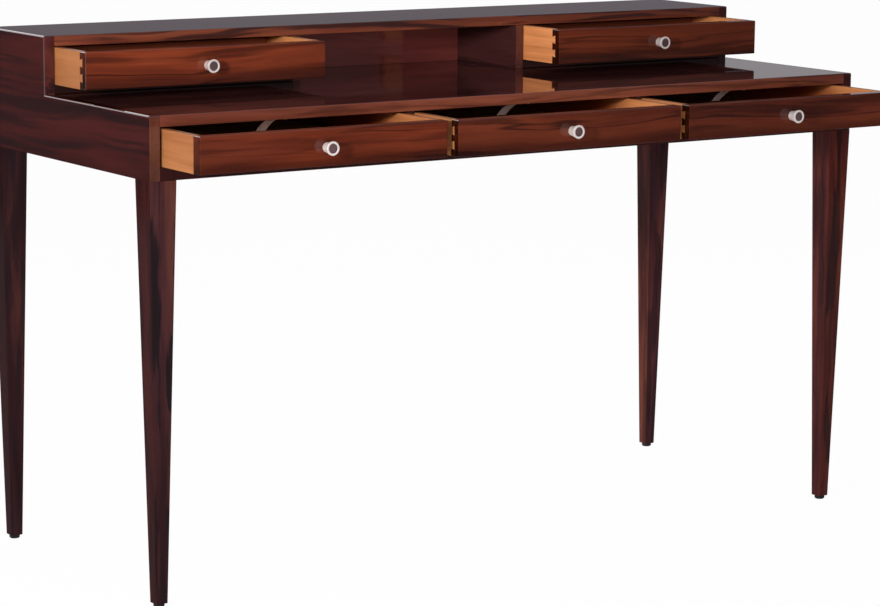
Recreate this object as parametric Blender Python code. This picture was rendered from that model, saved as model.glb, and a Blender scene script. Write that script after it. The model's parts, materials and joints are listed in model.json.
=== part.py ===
"""Writing desk with a raised gallery: a three-drawer case on tapered legs and two small drawers above.

Metres, +Z up. X runs across the desk, the drawers pull out towards -Y, and Z = 0 is the floor.
The drawers stand partly pulled out, and the origin is the middle of the whole outline on the floor.
"""
import math

import bmesh
import bpy
from mathutils import Matrix, Vector

# Overall sizes
WIDTH = 1.400
DEPTH = 0.555
TOP_HEIGHT = 0.770
CASE_HEIGHT = 0.100
GALLERY_RISE = 0.094
GALLERY_DEPTH = 0.207

# Board thicknesses
TOP_T = 0.018
END_T = 0.018
CASE_BOTTOM_T = 0.021
PARTITION_T = 0.012
GALLERY_TOP_T = 0.017
DIVIDER_T = 0.016
GALLERY_FLOOR_T = 0.0155
BACK_T = 0.016
BACK_INSET = 0.008

# Side guides of the lower drawers
GUIDE_T = 0.004
GUIDE_H = 0.030
GUIDE_SETBACK = 0.030

# Legs, tenons and glides
LEG_TOP = 0.0468
LEG_FOOT = 0.0205
TENON_WALL = 0.004
TENON_SHOULDER = 0.012
TENON_COVER = 0.007
GLIDE_R = 0.0088
GLIDE_H = 0.006
GLIDE_NAIL_R = 0.0022
GLIDE_NAIL_L = 0.014

# Drawers
FRONT_T = 0.020
SIDE_T = 0.012
DRAWER_BACK_T = 0.012
DRAWER_BACK_DROP = 0.006
DRAWER_BOTTOM_T = 0.005
GROOVE_D = 0.006
GROOVE_RISE = 0.008
LAP_T = 0.011
TAIL_FLARE = 0.0020
TAIL_COUNT = 2
SIDE_GAP = 0.001
LOWER_TOP_GAP = 0.003
UPPER_TOP_GAP = 0.0015
REAR_GAP = 0.003

# How far each drawer stands open
UPPER_LEFT_OPEN = 0.106
UPPER_RIGHT_OPEN = 0.105
LOWER_LEFT_OPEN = 0.114
LOWER_MIDDLE_OPEN = 0.123
LOWER_RIGHT_OPEN = 0.127

# Knobs: a turned trumpet with a dished face
KNOB_R = 0.0110
KNOB_REACH = 0.0185
KNOB_RIM_T = 0.0030
KNOB_NECK_R = 0.0070
KNOB_BASE_R = 0.0078
KNOB_BASE_T = 0.0020
KNOB_STUD_R = 0.0025
KNOB_STUD_COVER = 0.008
KNOB_DISH_R = 0.0068
KNOB_DISH_D = 0.0024

# Curved leaf under the desk top that stops each lower drawer
LEAF_W = 0.018
LEAF_T = 0.0012
LEAF_FLAT = 0.0115
LEAF_CLEAR = 0.0025
LEAF_RADIUS = 0.100
LEAF_DROP = 0.028
LEAF_LEFT_OFFSET = 0.012
LEAF_MIDDLE_OFFSET = 0.020
LEAF_RIGHT_OFFSET = 0.022
LEAF_STEPS = 8
SCREW_HEAD_R = 0.0034
SCREW_HEAD_T = 0.0018
SCREW_R = 0.0016
SCREW_COVER = 0.008

# Fits and edges
FIT = 0.0003
EASE = 0.0012
END_EASE = 0.0022
EASE_STEPS = 2
ROUND_SIDES = 16
CUT_PAST = 0.002

# Places worked out from the sizes above
HALF_W = WIDTH / 2
CASE_BOTTOM_Z = TOP_HEIGHT - CASE_HEIGHT
CASE_FLOOR_Z = CASE_BOTTOM_Z + CASE_BOTTOM_T
TOP_UNDER_Z = TOP_HEIGHT - TOP_T
GALLERY_TOP_Z = TOP_HEIGHT + GALLERY_RISE
GALLERY_UNDER_Z = GALLERY_TOP_Z - GALLERY_TOP_T
GALLERY_FLOOR_Z = TOP_HEIGHT + GALLERY_FLOOR_T
LOWER_REACH = max(LOWER_LEFT_OPEN, LOWER_MIDDLE_OPEN, LOWER_RIGHT_OPEN)
UPPER_REACH = max(UPPER_LEFT_OPEN, UPPER_RIGHT_OPEN) - (DEPTH - GALLERY_DEPTH)
REACH = max(LOWER_REACH, UPPER_REACH) + KNOB_REACH
FRONT_Y = (REACH - DEPTH) / 2
REAR_Y = FRONT_Y + DEPTH
GALLERY_FRONT_Y = REAR_Y - GALLERY_DEPTH
BACK_FACE_Y = REAR_Y - BACK_INSET - BACK_T
END_INNER_X = HALF_W - END_T
LOWER_BAY = (WIDTH - 2 * (END_T + GUIDE_T) - 2 * PARTITION_T) / 3
LOWER_PITCH = LOWER_BAY + PARTITION_T
GALLERY_BAY = (WIDTH - 2 * END_T - 2 * DIVIDER_T) / 3
GALLERY_PITCH = GALLERY_BAY + DIVIDER_T
LOWER_H = TOP_UNDER_Z - LOWER_TOP_GAP - CASE_FLOOR_Z - FIT
UPPER_H = GALLERY_UNDER_Z - UPPER_TOP_GAP - GALLERY_FLOOR_Z - FIT
LOWER_LENGTH = BACK_FACE_Y - FRONT_Y - REAR_GAP
UPPER_LENGTH = BACK_FACE_Y - GALLERY_FRONT_Y - REAR_GAP
STUD_END = FRONT_T - KNOB_STUD_COVER
SCREW_TIP_Z = TOP_HEIGHT - SCREW_COVER
LEAF_START_Y = FRONT_Y + FRONT_T + LEAF_CLEAR

# Finishes: colour, roughness, metallic
ROSEWOOD = ("dark_rosewood", (0.095, 0.030, 0.018), 0.12, 0.0)
PALE_TIMBER = ("pale_drawer_timber", (0.620, 0.330, 0.130), 0.45, 0.0)
PLYWOOD = ("drawer_bottom_ply", (0.560, 0.360, 0.180), 0.55, 0.0)
NICKEL = ("satin_nickel", (0.700, 0.660, 0.630), 0.25, 1.0)
STEEL = ("spring_steel", (0.620, 0.580, 0.560), 0.35, 1.0)
GLIDE_BLACK = ("glide_nylon", (0.015, 0.014, 0.014), 0.50, 0.0)


def clear_scene():
    """Remove everything that the scene holds."""
    for old in list(bpy.data.objects):
        bpy.data.objects.remove(old, do_unlink=True)


def finish_material(finish):
    """Return the Principled material of a finish, made once."""
    name, colour, roughness, metallic = finish
    found = bpy.data.materials.get(name)
    if found:
        return found
    made = bpy.data.materials.new(name)
    made.use_nodes = True
    shader = made.node_tree.nodes["Principled BSDF"]
    shader.inputs["Base Color"].default_value = (*colour, 1.0)
    shader.inputs["Roughness"].default_value = roughness
    shader.inputs["Metallic"].default_value = metallic
    return made


def add_object(name, shape, finish=None, parent=None):
    """Turn a bmesh into a named object, with its finish and its parent empty."""
    bmesh.ops.recalc_face_normals(shape, faces=shape.faces)
    mesh = bpy.data.meshes.new(name)
    shape.to_mesh(mesh)
    shape.free()
    made = bpy.data.objects.new(name, mesh)
    bpy.context.collection.objects.link(made)
    if finish:
        mesh.materials.append(finish_material(finish))
    made.parent = parent
    return made


def add_cutter(name, shape, parent=None):
    """Turn a bmesh into a hidden cutting tool."""
    made = add_object(name, shape, parent=parent)
    made.hide_render = True
    made.display_type = "WIRE"
    return made


def cut(target, name, shape):
    """Cut a shape out of an object with a Boolean."""
    tool = add_cutter(name, shape, target.parent)
    difference = target.modifiers.new(name, "BOOLEAN")
    difference.operation = "DIFFERENCE"
    difference.solver = "EXACT"
    difference.object = tool


def round_shading(made):
    """Shade a turned piece smooth, with its arrises kept sharp."""
    made.data.shade_smooth()
    made.data.set_sharp_from_angle(angle=math.radians(35))


def put_block(shape, low, high):
    """Add a rectangular block between two corners."""
    low, high = Vector(low), Vector(high)
    size = high - low
    place = Matrix.Translation((low + high) / 2) @ Matrix.Diagonal((*size, 1.0))
    bmesh.ops.create_cube(shape, size=1.0, matrix=place)


def put_prism(shape, outline, place, start, end):
    """Extrude a flat outline from start to end, with place(a, b, along) giving each corner."""
    base = shape.faces.new([shape.verts.new(place(a, b, start)) for a, b in outline])
    moved = bmesh.ops.extrude_face_region(shape, geom=[base])["geom"]
    shift = Vector(place(0, 0, end)) - Vector(place(0, 0, start))
    bmesh.ops.translate(shape, verts=[v for v in moved if isinstance(v, bmesh.types.BMVert)], vec=shift)


def put_turned(shape, profile, place):
    """Turn a closed profile of (radius, along) points, first and last on the axis."""
    rings = []
    for radius, along in profile:
        count = ROUND_SIDES if radius > 0 else 1
        turns = [2 * math.pi * step / ROUND_SIDES for step in range(count)]
        circle = [(radius * math.cos(turn), radius * math.sin(turn)) for turn in turns]
        rings.append([shape.verts.new(place(a, b, along)) for a, b in circle])
    for one, two in zip(rings, rings[1:]):
        for step in range(ROUND_SIDES):
            after = (step + 1) % ROUND_SIDES
            around = ((one, step), (one, after), (two, after), (two, step))
            corners = [ring[at % len(ring)] for ring, at in around]
            shape.faces.new(list(dict.fromkeys(corners)))


def across_x(a, b, along):
    """Place an outline drawn in Y and Z, extruded along X."""
    return (along, a, b)


def ease_edges(shape, butts=None, radius=EASE):
    """Round the outer arrises of a board, apart from those that butts(middle) finds in a joint."""
    bmesh.ops.recalc_face_normals(shape, faces=shape.faces)
    outer = [edge for edge in shape.edges if edge.calc_face_angle_signed(0.0) > math.radians(30)]
    if butts:
        outer = [edge for edge in outer if not butts((edge.verts[0].co + edge.verts[1].co) / 2)]
    bmesh.ops.bevel(shape, geom=outer, offset=radius, segments=EASE_STEPS, profile=0.5, affect="EDGES")


def add_board(name, low, high, finish=ROSEWOOD, parent=None, butts=None):
    """Make a rectangular board with eased arrises."""
    shape = bmesh.new()
    put_block(shape, low, high)
    ease_edges(shape, butts)
    return add_object(name, shape, finish, parent)


def meets_end_panel(middle):
    """Tell whether an arris of a cross board lies against an end panel."""
    return abs(middle.x) > END_INNER_X - 2 * FIT


def build_desk_top():
    """Make the writing board, let in between the end panels."""
    inner = END_INNER_X - FIT
    top = add_board("desk_top", (-inner, FRONT_Y, TOP_UNDER_Z), (inner, REAR_Y - BACK_INSET, TOP_HEIGHT),
                    butts=meets_end_panel)
    holes = bmesh.new()
    for x in leaf_centres():
        put_turned(holes, screw_hole_profile(), screw_place(x))
    cut(top, "leaf_screw_holes", holes)


def build_end_panels():
    """Make the two stepped end boards, level with the writing board in front and the gallery top behind."""
    low, step, high = CASE_BOTTOM_Z, TOP_HEIGHT, GALLERY_TOP_Z
    outline = [(FRONT_Y, low), (REAR_Y, low), (REAR_Y, high), (GALLERY_FRONT_Y, high),
               (GALLERY_FRONT_Y, step), (FRONT_Y, step)]
    for side, outer, inner in (("left", -HALF_W, -END_INNER_X), ("right", HALF_W, END_INNER_X)):
        shape = bmesh.new()
        put_prism(shape, outline, across_x, outer, inner)
        ease_edges(shape, meets_board_or_leg, END_EASE)
        add_object(f"{side}_end_panel", shape, ROSEWOOD)


def meets_board_or_leg(middle):
    """Tell whether an arris of an end panel lies against a cross board or over a leg."""
    return abs(middle.x) < END_INNER_X + FIT or middle.z < CASE_BOTTOM_Z + FIT


def build_case():
    """Make the floor board, the back apron, the partitions and the side guides of the lower case."""
    inner = END_INNER_X - FIT
    rear = REAR_Y - BACK_INSET
    floor = add_board("case_bottom", (-inner, FRONT_Y, CASE_BOTTOM_Z), (inner, rear, CASE_FLOOR_Z),
                      butts=meets_end_panel_or_leg)
    mortises = bmesh.new()
    for _, sx, sy in leg_corners():
        low, high = tenon_box(sx, sy)
        slack = Vector((FIT, FIT, FIT))
        put_block(mortises, Vector((low.x, low.y, CASE_BOTTOM_Z - CUT_PAST)) - slack, high + slack)
    cut(floor, "leg_mortises", mortises)
    bottom, top = CASE_FLOOR_Z + FIT, TOP_UNDER_Z - FIT
    add_board("back_apron", (-inner, BACK_FACE_Y, bottom), (inner, rear, top))
    back = BACK_FACE_Y - FIT
    for side, sign in (("left", -1), ("right", 1)):
        middle = sign * LOWER_PITCH / 2
        add_board(f"{side}_partition", (middle - PARTITION_T / 2, FRONT_Y, bottom),
                  (middle + PARTITION_T / 2, back, top))
        faces = sorted((sign * inner, sign * (END_INNER_X - GUIDE_T)))
        add_board(f"{side}_side_guide", (faces[0], FRONT_Y + GUIDE_SETBACK, bottom),
                  (faces[1], back, bottom + GUIDE_H), PALE_TIMBER)


def meets_end_panel_or_leg(middle):
    """Tell whether an arris of the case bottom lies against an end panel or over a leg."""
    return meets_end_panel(middle) or middle.z < CASE_BOTTOM_Z + FIT


def build_gallery():
    """Make the gallery's top, back, dividers and the floors of its two drawer bays."""
    inner = END_INNER_X - FIT
    add_board("gallery_top", (-inner, GALLERY_FRONT_Y, GALLERY_UNDER_Z), (inner, REAR_Y, GALLERY_TOP_Z),
              butts=meets_end_panel)
    bottom, top = TOP_HEIGHT + FIT, GALLERY_UNDER_Z - FIT
    add_board("gallery_back", (-inner, BACK_FACE_Y, bottom), (inner, REAR_Y - BACK_INSET, top), butts=housed)
    back = BACK_FACE_Y - FIT
    for side, sign in (("left", -1), ("right", 1)):
        middle = sign * GALLERY_PITCH / 2
        add_board(f"gallery_{side}_divider", (middle - DIVIDER_T / 2, GALLERY_FRONT_Y, bottom),
                  (middle + DIVIDER_T / 2, back, top), butts=meets_gallery_board)
        bay = sign * GALLERY_PITCH
        half = GALLERY_BAY / 2 - FIT
        add_board(f"gallery_{side}_floor", (bay - half, GALLERY_FRONT_Y, bottom),
                  (bay + half, back, GALLERY_FLOOR_Z))


def housed(_):
    """Tell that each arris of the gallery back lies in a joint."""
    return True


def meets_gallery_board(middle):
    """Tell whether an arris of a divider lies in a joint, as all do but the upright ones in front."""
    upright = TOP_HEIGHT + EASE < middle.z < GALLERY_UNDER_Z - EASE
    return middle.y > GALLERY_FRONT_Y + FIT or not upright


def leg_corners():
    """Return each leg's name and its sign of X and Y."""
    return [("front_left", -1, -1), ("front_right", 1, -1), ("back_left", -1, 1), ("back_right", 1, 1)]


def leg_axis(sx, sy):
    """Return the X and Y of a leg's middle, with the leg flush with the case at its top."""
    y = FRONT_Y + LEG_TOP / 2 if sy < 0 else REAR_Y - LEG_TOP / 2
    return sx * (HALF_W - LEG_TOP / 2), y


def tenon_box(sx, sy):
    """Return the corners of a leg's tenon, which stands clear of the end panel."""
    xs = sorted((sx * (END_INNER_X - FIT - TENON_WALL), sx * (HALF_W - LEG_TOP + TENON_WALL)))
    y = leg_axis(sx, sy)[1]
    half = LEG_TOP / 2 - TENON_SHOULDER
    low = Vector((xs[0], y - half, CASE_BOTTOM_Z - FIT))
    high = Vector((xs[1], y + half, CASE_FLOOR_Z - TENON_COVER))
    return low, high


def build_legs():
    """Make the four square legs, tapered on all sides, each with a tenon on top."""
    for name, sx, sy in leg_corners():
        x, y = leg_axis(sx, sy)
        shape = bmesh.new()
        rings = []
        for half, z in ((LEG_FOOT / 2, GLIDE_H), (LEG_TOP / 2, CASE_BOTTOM_Z - FIT)):
            corners = ((-half, -half), (half, -half), (half, half), (-half, half))
            rings.append([shape.verts.new((x + a, y + b, z)) for a, b in corners])
        shape.faces.new(rings[0])
        for step in range(4):
            after = (step + 1) % 4
            shape.faces.new((rings[0][step], rings[0][after], rings[1][after], rings[1][step]))
        shape.faces.new(rings[1])
        ease_edges(shape, meets_case)
        leg = add_object(f"{name}_leg", shape, ROSEWOOD)
        low, high = tenon_box(sx, sy)
        peg = bmesh.new()
        put_block(peg, low - Vector((0, 0, CUT_PAST)), high)
        joined = leg.modifiers.new("tenon", "BOOLEAN")
        joined.operation = "UNION"
        joined.solver = "EXACT"
        joined.object = add_cutter(f"{name}_tenon", peg)
        hole = bmesh.new()
        put_turned(hole, [(0, GLIDE_H - CUT_PAST), (GLIDE_NAIL_R + FIT, GLIDE_H - CUT_PAST),
                          (GLIDE_NAIL_R + FIT, GLIDE_H + GLIDE_NAIL_L + FIT),
                          (0, GLIDE_H + GLIDE_NAIL_L + FIT)], standing_at(x, y))
        cut(leg, f"{name}_nail_hole", hole)


def meets_case(middle):
    """Tell whether an arris of a leg lies under the case."""
    return middle.z > CASE_BOTTOM_Z - 2 * FIT


def standing_at(x, y):
    """Return a place function for a piece turned about an upright axis."""
    return lambda a, b, along: (x + a, y + b, along)


def build_glides():
    """Make the four nailed glides that the desk stands on."""
    edge = GLIDE_H / 4
    for name, sx, sy in leg_corners():
        shape = bmesh.new()
        put_turned(shape, [(0, 0), (GLIDE_R - edge, 0), (GLIDE_R, edge), (GLIDE_R, GLIDE_H - FIT),
                           (GLIDE_NAIL_R, GLIDE_H - FIT), (GLIDE_NAIL_R, GLIDE_H + GLIDE_NAIL_L),
                           (0, GLIDE_H + GLIDE_NAIL_L)], standing_at(*leg_axis(sx, sy)))
        round_shading(add_object(f"{name}_glide", shape, GLIDE_BLACK))


def leaf_centres():
    """Return the X of the stop leaf over each lower drawer, left to right."""
    offsets = (LEAF_LEFT_OFFSET, LEAF_MIDDLE_OFFSET, LEAF_RIGHT_OFFSET)
    return [bay * LOWER_PITCH + offset for bay, offset in zip((-1, 0, 1), offsets)]


def screw_place(x):
    """Return a place function for a screw driven up through a leaf's flat end."""
    return standing_at(x, LEAF_START_Y + LEAF_FLAT / 2)


def screw_hole_profile():
    """Return the profile of the clearance hole around a leaf screw."""
    low, high = TOP_UNDER_Z - LEAF_T - CUT_PAST, SCREW_TIP_Z + FIT
    radius = SCREW_R + FIT
    return [(0, low), (radius, low), (radius, high), (0, high)]


def leaf_outline():
    """Return the leaf's edge-on outline: a flat end, then an arc that falls away to the back."""
    sweep = math.acos(1 - LEAF_DROP / LEAF_RADIUS)
    bend_y = LEAF_START_Y + LEAF_FLAT
    top_z = TOP_UNDER_Z - FIT
    centre_z = top_z - LEAF_T - LEAF_RADIUS
    turns = [sweep * step / LEAF_STEPS for step in range(LEAF_STEPS + 1)]
    outer, inner = LEAF_RADIUS + LEAF_T, LEAF_RADIUS
    above = [(bend_y + outer * math.sin(t), centre_z + outer * math.cos(t)) for t in turns]
    below = [(bend_y + inner * math.sin(t), centre_z + inner * math.cos(t)) for t in turns]
    return [(LEAF_START_Y, top_z)] + above + below[::-1] + [(LEAF_START_Y, top_z - LEAF_T)]


def build_stop_leaves():
    """Make the spring leaves that catch each lower drawer's back, and the screws that hold them."""
    head_z = TOP_UNDER_Z - FIT - LEAF_T - FIT
    for x, bay in zip(leaf_centres(), ("left", "middle", "right")):
        shape = bmesh.new()
        put_prism(shape, leaf_outline(), across_x, x - LEAF_W / 2, x + LEAF_W / 2)
        leaf = add_object(f"{bay}_stop_leaf", shape, STEEL)
        hole = bmesh.new()
        put_turned(hole, screw_hole_profile(), screw_place(x))
        cut(leaf, f"{bay}_leaf_hole", hole)
        screw = bmesh.new()
        put_turned(screw, [(0, head_z - SCREW_HEAD_T), (SCREW_HEAD_R * 0.7, head_z - SCREW_HEAD_T),
                           (SCREW_HEAD_R, head_z - SCREW_HEAD_T / 2), (SCREW_HEAD_R, head_z),
                           (SCREW_R, head_z), (SCREW_R, SCREW_TIP_Z), (0, SCREW_TIP_Z)],
                   screw_place(x))
        round_shading(add_object(f"{bay}_leaf_screw", screw, STEEL))


def tails(height):
    """Return the middle and the half width at the shoulder of each dovetail on a drawer side.

    The tails and the pins between and beside them share the height evenly.
    """
    share = height / (2 * TAIL_COUNT + 1)
    return [(share * (2 * step + 1.5), (share - TAIL_FLARE) / 2) for step in range(TAIL_COUNT)]


def side_outline(height, length, dovetailed):
    """Return a drawer side's outline in Y and Z, with its tails at the front end."""
    shoulder = FRONT_T + FIT
    points = [(shoulder, 0), (length, 0), (length, height), (shoulder, height)]
    if dovetailed:
        tip = LAP_T + FIT
        for z, base in reversed(tails(height)):
            end = base + TAIL_FLARE
            points += [(shoulder, z + base), (tip, z + end), (tip, z - end), (shoulder, z - base)]
    return points


def socket_outline(z, tail_base):
    """Return the outline of the socket that takes one tail, a fit larger all round."""
    base, end = tail_base + FIT, tail_base + TAIL_FLARE + FIT
    past = FRONT_T + CUT_PAST
    beyond = base - TAIL_FLARE * CUT_PAST / (FRONT_T - LAP_T)
    return [(past, z + beyond), (LAP_T, z + end), (LAP_T, z - end), (past, z - beyond)]


def build_drawer(name, x, front_y, floor_z, bay, height, length, opened, dovetailed=True):
    """Make one drawer on an empty at the foot of its front: front, sides, back, bottom and knob."""
    slide = bpy.data.objects.new(f"{name}_slide", None)
    slide.location = (x, front_y - opened, floor_z + FIT)
    bpy.context.collection.objects.link(slide)
    half = bay / 2 - SIDE_GAP
    inner = half - SIDE_T
    let_in = inner + GROOVE_D
    groove_low, groove_high = GROOVE_RISE, GROOVE_RISE + DRAWER_BOTTOM_T + 2 * FIT

    front = add_board(f"{name}_drawer_front", (-half, 0, 0), (half, FRONT_T, height), ROSEWOOD, slide)
    groove = bmesh.new()
    put_block(groove, (-let_in, FRONT_T - GROOVE_D, groove_low), (let_in, FRONT_T + CUT_PAST, groove_high))
    cut(front, f"{name}_front_groove", groove)
    if dovetailed:
        sockets = bmesh.new()
        for z, tail_base in tails(height):
            outline = socket_outline(z, tail_base)
            put_prism(sockets, outline, across_x, -half - CUT_PAST, -inner + FIT)
            put_prism(sockets, outline, across_x, inner - FIT, half + CUT_PAST)
        cut(front, f"{name}_sockets", sockets)
    build_knob(name, slide, front, height)

    for side, sign in (("left", -1), ("right", 1)):
        shape = bmesh.new()
        put_prism(shape, side_outline(height, length, dovetailed), across_x, sign * half, sign * inner)
        board = add_object(f"{name}_drawer_{side}_side", shape, PALE_TIMBER, slide)
        groove = bmesh.new()
        xs = sorted((sign * (inner - CUT_PAST), sign * let_in))
        put_block(groove, (xs[0], -CUT_PAST, groove_low), (xs[1], length + CUT_PAST, groove_high))
        cut(board, f"{name}_{side}_groove", groove)

    shape = bmesh.new()
    panel_low, panel_high = groove_low + FIT, groove_high - FIT
    put_block(shape, (-let_in + FIT, FRONT_T - GROOVE_D + FIT, panel_low), (let_in - FIT, length, panel_high))
    add_object(f"{name}_drawer_bottom", shape, PLYWOOD, slide)
    add_board(f"{name}_drawer_back", (-inner + FIT, length - DRAWER_BACK_T, panel_high + FIT),
              (inner - FIT, length, height - DRAWER_BACK_DROP), PALE_TIMBER, slide)


def build_knob(name, slide, front, height):
    """Make a trumpet knob on its stud, and the stud's bore in the drawer front."""
    middle = height / 2

    def place(a, b, along):
        return (a, along, middle + b)

    rim, dish = -KNOB_REACH, -KNOB_REACH + KNOB_DISH_D
    flare_y = rim + KNOB_RIM_T
    shape = bmesh.new()
    put_turned(shape, [(0, dish), (KNOB_DISH_R, dish), (KNOB_DISH_R, rim), (KNOB_R - EASE, rim),
                       (KNOB_R, rim + EASE), (KNOB_R, flare_y), (KNOB_NECK_R, -KNOB_BASE_T * 2),
                       (KNOB_BASE_R, -KNOB_BASE_T), (KNOB_BASE_R, -FIT), (KNOB_STUD_R, -FIT),
                       (KNOB_STUD_R, STUD_END), (0, STUD_END)], place)
    round_shading(add_object(f"{name}_knob", shape, NICKEL, slide))
    bore = bmesh.new()
    radius, end = KNOB_STUD_R + FIT, STUD_END + FIT
    put_turned(bore, [(0, -CUT_PAST), (radius, -CUT_PAST), (radius, end), (0, end)], place)
    cut(front, f"{name}_stud_bore", bore)


def build_drawers():
    """Make the two gallery drawers and the three drawers of the lower case."""
    for side, sign, opened in (("left", -1, UPPER_LEFT_OPEN), ("right", 1, UPPER_RIGHT_OPEN)):
        build_drawer(f"upper_{side}", sign * GALLERY_PITCH, GALLERY_FRONT_Y, GALLERY_FLOOR_Z,
                     GALLERY_BAY, UPPER_H, UPPER_LENGTH, opened)
    lower = (("left", -1, LOWER_LEFT_OPEN, False), ("middle", 0, LOWER_MIDDLE_OPEN, True),
             ("right", 1, LOWER_RIGHT_OPEN, True))
    for side, bay, opened, dovetailed in lower:
        build_drawer(f"lower_{side}", bay * LOWER_PITCH, FRONT_Y, CASE_FLOOR_Z,
                     LOWER_BAY, LOWER_H, LOWER_LENGTH, opened, dovetailed)


def main():
    """Build the whole desk."""
    clear_scene()
    build_desk_top()
    build_end_panels()
    build_case()
    build_gallery()
    build_legs()
    build_glides()
    build_stop_leaves()
    build_drawers()


main()
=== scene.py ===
"""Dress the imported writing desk: polished rosewood, pale drawer timber, nickel knobs and a plain studio.

Metres, +Z up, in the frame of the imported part. The drawers pull out towards -Y.
"""
from __future__ import annotations

import json
import logging
import math
from dataclasses import dataclass
from enum import Enum
from typing import ClassVar

import bpy
import numpy as np
from mathutils import Matrix, Vector

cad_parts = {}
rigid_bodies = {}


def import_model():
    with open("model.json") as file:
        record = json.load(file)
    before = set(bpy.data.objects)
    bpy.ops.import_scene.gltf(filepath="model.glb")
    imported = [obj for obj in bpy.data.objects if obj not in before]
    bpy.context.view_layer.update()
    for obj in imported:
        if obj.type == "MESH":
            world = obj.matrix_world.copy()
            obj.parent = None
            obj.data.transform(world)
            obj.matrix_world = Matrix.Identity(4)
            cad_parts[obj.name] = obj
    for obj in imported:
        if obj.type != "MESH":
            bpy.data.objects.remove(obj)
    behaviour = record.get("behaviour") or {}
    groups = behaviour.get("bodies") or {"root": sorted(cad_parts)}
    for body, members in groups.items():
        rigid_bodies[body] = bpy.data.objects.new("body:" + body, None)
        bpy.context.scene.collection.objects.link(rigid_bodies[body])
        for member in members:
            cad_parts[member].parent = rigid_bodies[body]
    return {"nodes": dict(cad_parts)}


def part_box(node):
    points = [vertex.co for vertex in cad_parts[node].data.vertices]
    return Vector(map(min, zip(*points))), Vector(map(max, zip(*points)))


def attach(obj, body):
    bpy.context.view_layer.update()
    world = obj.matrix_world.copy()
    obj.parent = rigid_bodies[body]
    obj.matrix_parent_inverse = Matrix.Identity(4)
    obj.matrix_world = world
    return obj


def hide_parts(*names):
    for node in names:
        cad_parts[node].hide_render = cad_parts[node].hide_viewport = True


log = logging.getLogger("writing_desk")

Colour = tuple[float, float, float]
Point = tuple[float, float, float]
Span = tuple[float, float]
Socket = bpy.types.NodeSocket

SHARP_ANGLE = math.radians(40)
# Most values of a fractal noise lie in this span.
NOISE_SPAN: Span = (0.3, 0.7)


class Grain(Enum):
    """The axis that a board's grain runs along."""

    ALONG_X = 0
    ALONG_Y = 1
    ALONG_Z = 2

    def stretch(self, along: float, across: float) -> Point:
        """Return scales for the three axes.

        Args:
            along: the pattern's scale per metre on the grain's axis.
            across: its scale per metre on the other two axes.

        Returns:
            The scales on X, Y and Z.
        """
        scales = [across, across, across]
        scales[self.value] = along
        return tuple(scales)


class Side(Enum):
    """A way that a face can look: the axis and the sign of its normal."""

    LEFT = ("X", -1.0)
    RIGHT = ("X", 1.0)
    FRONT = ("Y", -1.0)
    BACK = ("Y", 1.0)


@dataclass(frozen=True)
class Pattern:
    """A fractal noise: its scales per metre along and across the grain, its detail and its roughness."""

    along: float
    across: float
    detail: float = 3.0
    roughness: float = 0.45


WAVES = Pattern(2.6, 2.6, 2.0, 0.50)
BROAD_STREAKS = Pattern(1.3, 18.0, 4.0, 0.52)
LEG_STREAKS = Pattern(3.0, 32.0, 4.0, 0.52)
PORES = Pattern(6.0, 170.0, 4.0, 0.60)
PATCHES = Pattern(2.2, 9.0, 2.0, 0.50)
VEINS = Pattern(0.8, 30.0)
VEIN_BREAKS = Pattern(2.0, 14.0, 2.0, 0.50)
TIMBER_WAVES = Pattern(3.0, 3.0, 2.0, 0.50)
TIMBER_STREAKS = Pattern(3.0, 55.0, 3.0, 0.50)
TIMBER_PORES = Pattern(9.0, 260.0, 3.0, 0.60)
TARNISH = Pattern(90.0, 90.0, 3.0, 0.55)
TURNING_MARKS = Pattern(4200.0, 700.0, 2.0, 0.60)
SCUFFS = Pattern(220.0, 220.0, 4.0, 0.60)


def toned(colour: Colour, tone: float) -> Colour:
    """Return a colour brightened or darkened by a tone."""
    return tuple(tone * channel for channel in colour)


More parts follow.
